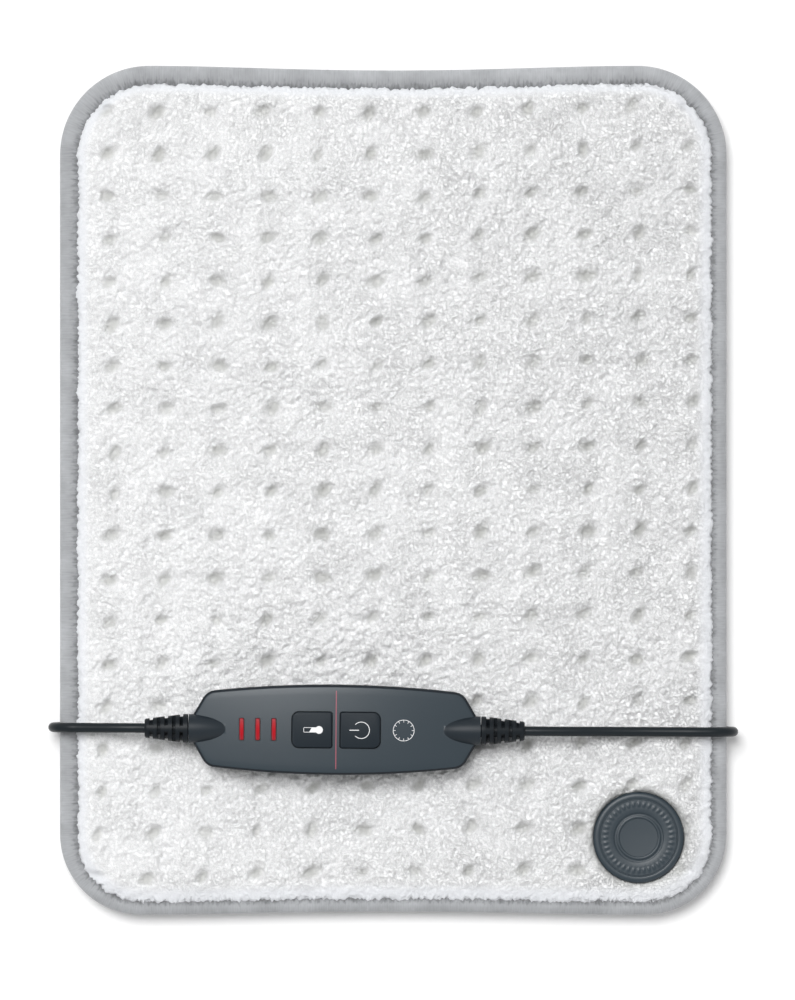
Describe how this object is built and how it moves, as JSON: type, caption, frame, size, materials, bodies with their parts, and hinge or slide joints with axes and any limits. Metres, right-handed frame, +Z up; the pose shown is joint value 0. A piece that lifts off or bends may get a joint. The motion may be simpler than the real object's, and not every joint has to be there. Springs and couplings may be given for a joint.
{
  "type": "heating pad with controller",
  "caption": "Flat white fleece heating pad with a grey bound edge, dimpled by sewn spots, with an in-line hand controller with keys, level lights and cords put away under the pad.",
  "frame": {"origin": "centre of the pad outline, on the table the pad lies on", "axes": "+X to the right of the picture, +Y to its top, +Z up out of the fleece towards the camera"},
  "size_m": [0.325, 0.4, 0.0379],
  "materials": {
    "fleece": "white looped-pile fleece",
    "tape": "grey ribbed binding tape",
    "felt": "thin needled felt",
    "heater": "insulated heating wire",
    "case": "satin grey plastic",
    "key": "satin dark grey plastic",
    "cord": "satin black cord sheath",
    "lens": "clear red plastic",
    "board": "green coated circuit board",
    "chip": "black moulded component",
    "film": "yellow component box",
    "blue": "blue coated component",
    "ceramic": "pale moulded component",
    "brown_core": "brown core insulation",
    "blue_core": "blue core insulation",
    "steel": "bright steel",
    "brass": "bright brass"
  },
  "bodies": {
    "pad": {"pad_top_cover": "fleece", "pad_back_cover": "fleece", "heater_carrier_sheet": "felt", "heating_wire": "heater", "edge_binding": "tape", "terminal_cap": "case", "terminal_base": "case", "terminal_strain_relief": "cord", "thermal_fuse": "ceramic", "splice_crimp_live": "brass", "splice_crimp_return": "brass", "mains_lead_run": "cord", "mains_lead_coil": "cord", "mains_lead_tail": "cord", "pad_lead": "cord", "coil_tie": "cord", "plug_body": "cord", "plug_strain_relief": "cord", "plug_pin_left": "steel", "plug_pin_right": "steel", "controller_top_shell": "case", "controller_bottom_shell": "case", "case_screw_1": "steel", "case_screw_2": "steel", "case_screw_3": "steel", "case_screw_4": "steel", "pad_lead_strain_relief": "cord", "mains_lead_strain_relief": "cord", "circuit_board": "board", "temperature_switch_body": "chip", "power_switch_body": "chip", "level_window_1": "lens", "level_window_2": "lens", "level_window_3": "lens", "level_lamp_1": "ceramic", "level_lamp_2": "ceramic", "level_lamp_3": "ceramic", "microcontroller": "chip", "triac": "chip", "film_capacitor": "film", "supply_capacitor": "chip", "dropper_resistor": "ceramic", "mains_fuse": "ceramic", "varistor": "blue", "mains_core_live": "brown_core", "mains_core_neutral": "blue_core", "heater_core_live": "brown_core", "heater_core_return": "blue_core"},
    "temperature_key_body": {"temperature_key": "key", "temperature_switch_plunger": "ceramic"},
    "power_key_body": {"power_key": "key", "power_switch_plunger": "ceramic"}
  },
  "joints": [
    {"name": "temperature_key_press", "type": "slide", "parent": "pad", "child": "temperature_key_body", "axis": [0, 0, -1], "range_m": [0, 0.0006], "stiffness_N_per_m": 1500},
    {"name": "power_key_press", "type": "slide", "parent": "pad", "child": "power_key_body", "axis": [0, 0, -1], "range_m": [0, 0.0006], "stiffness_N_per_m": 1500}
  ]
}
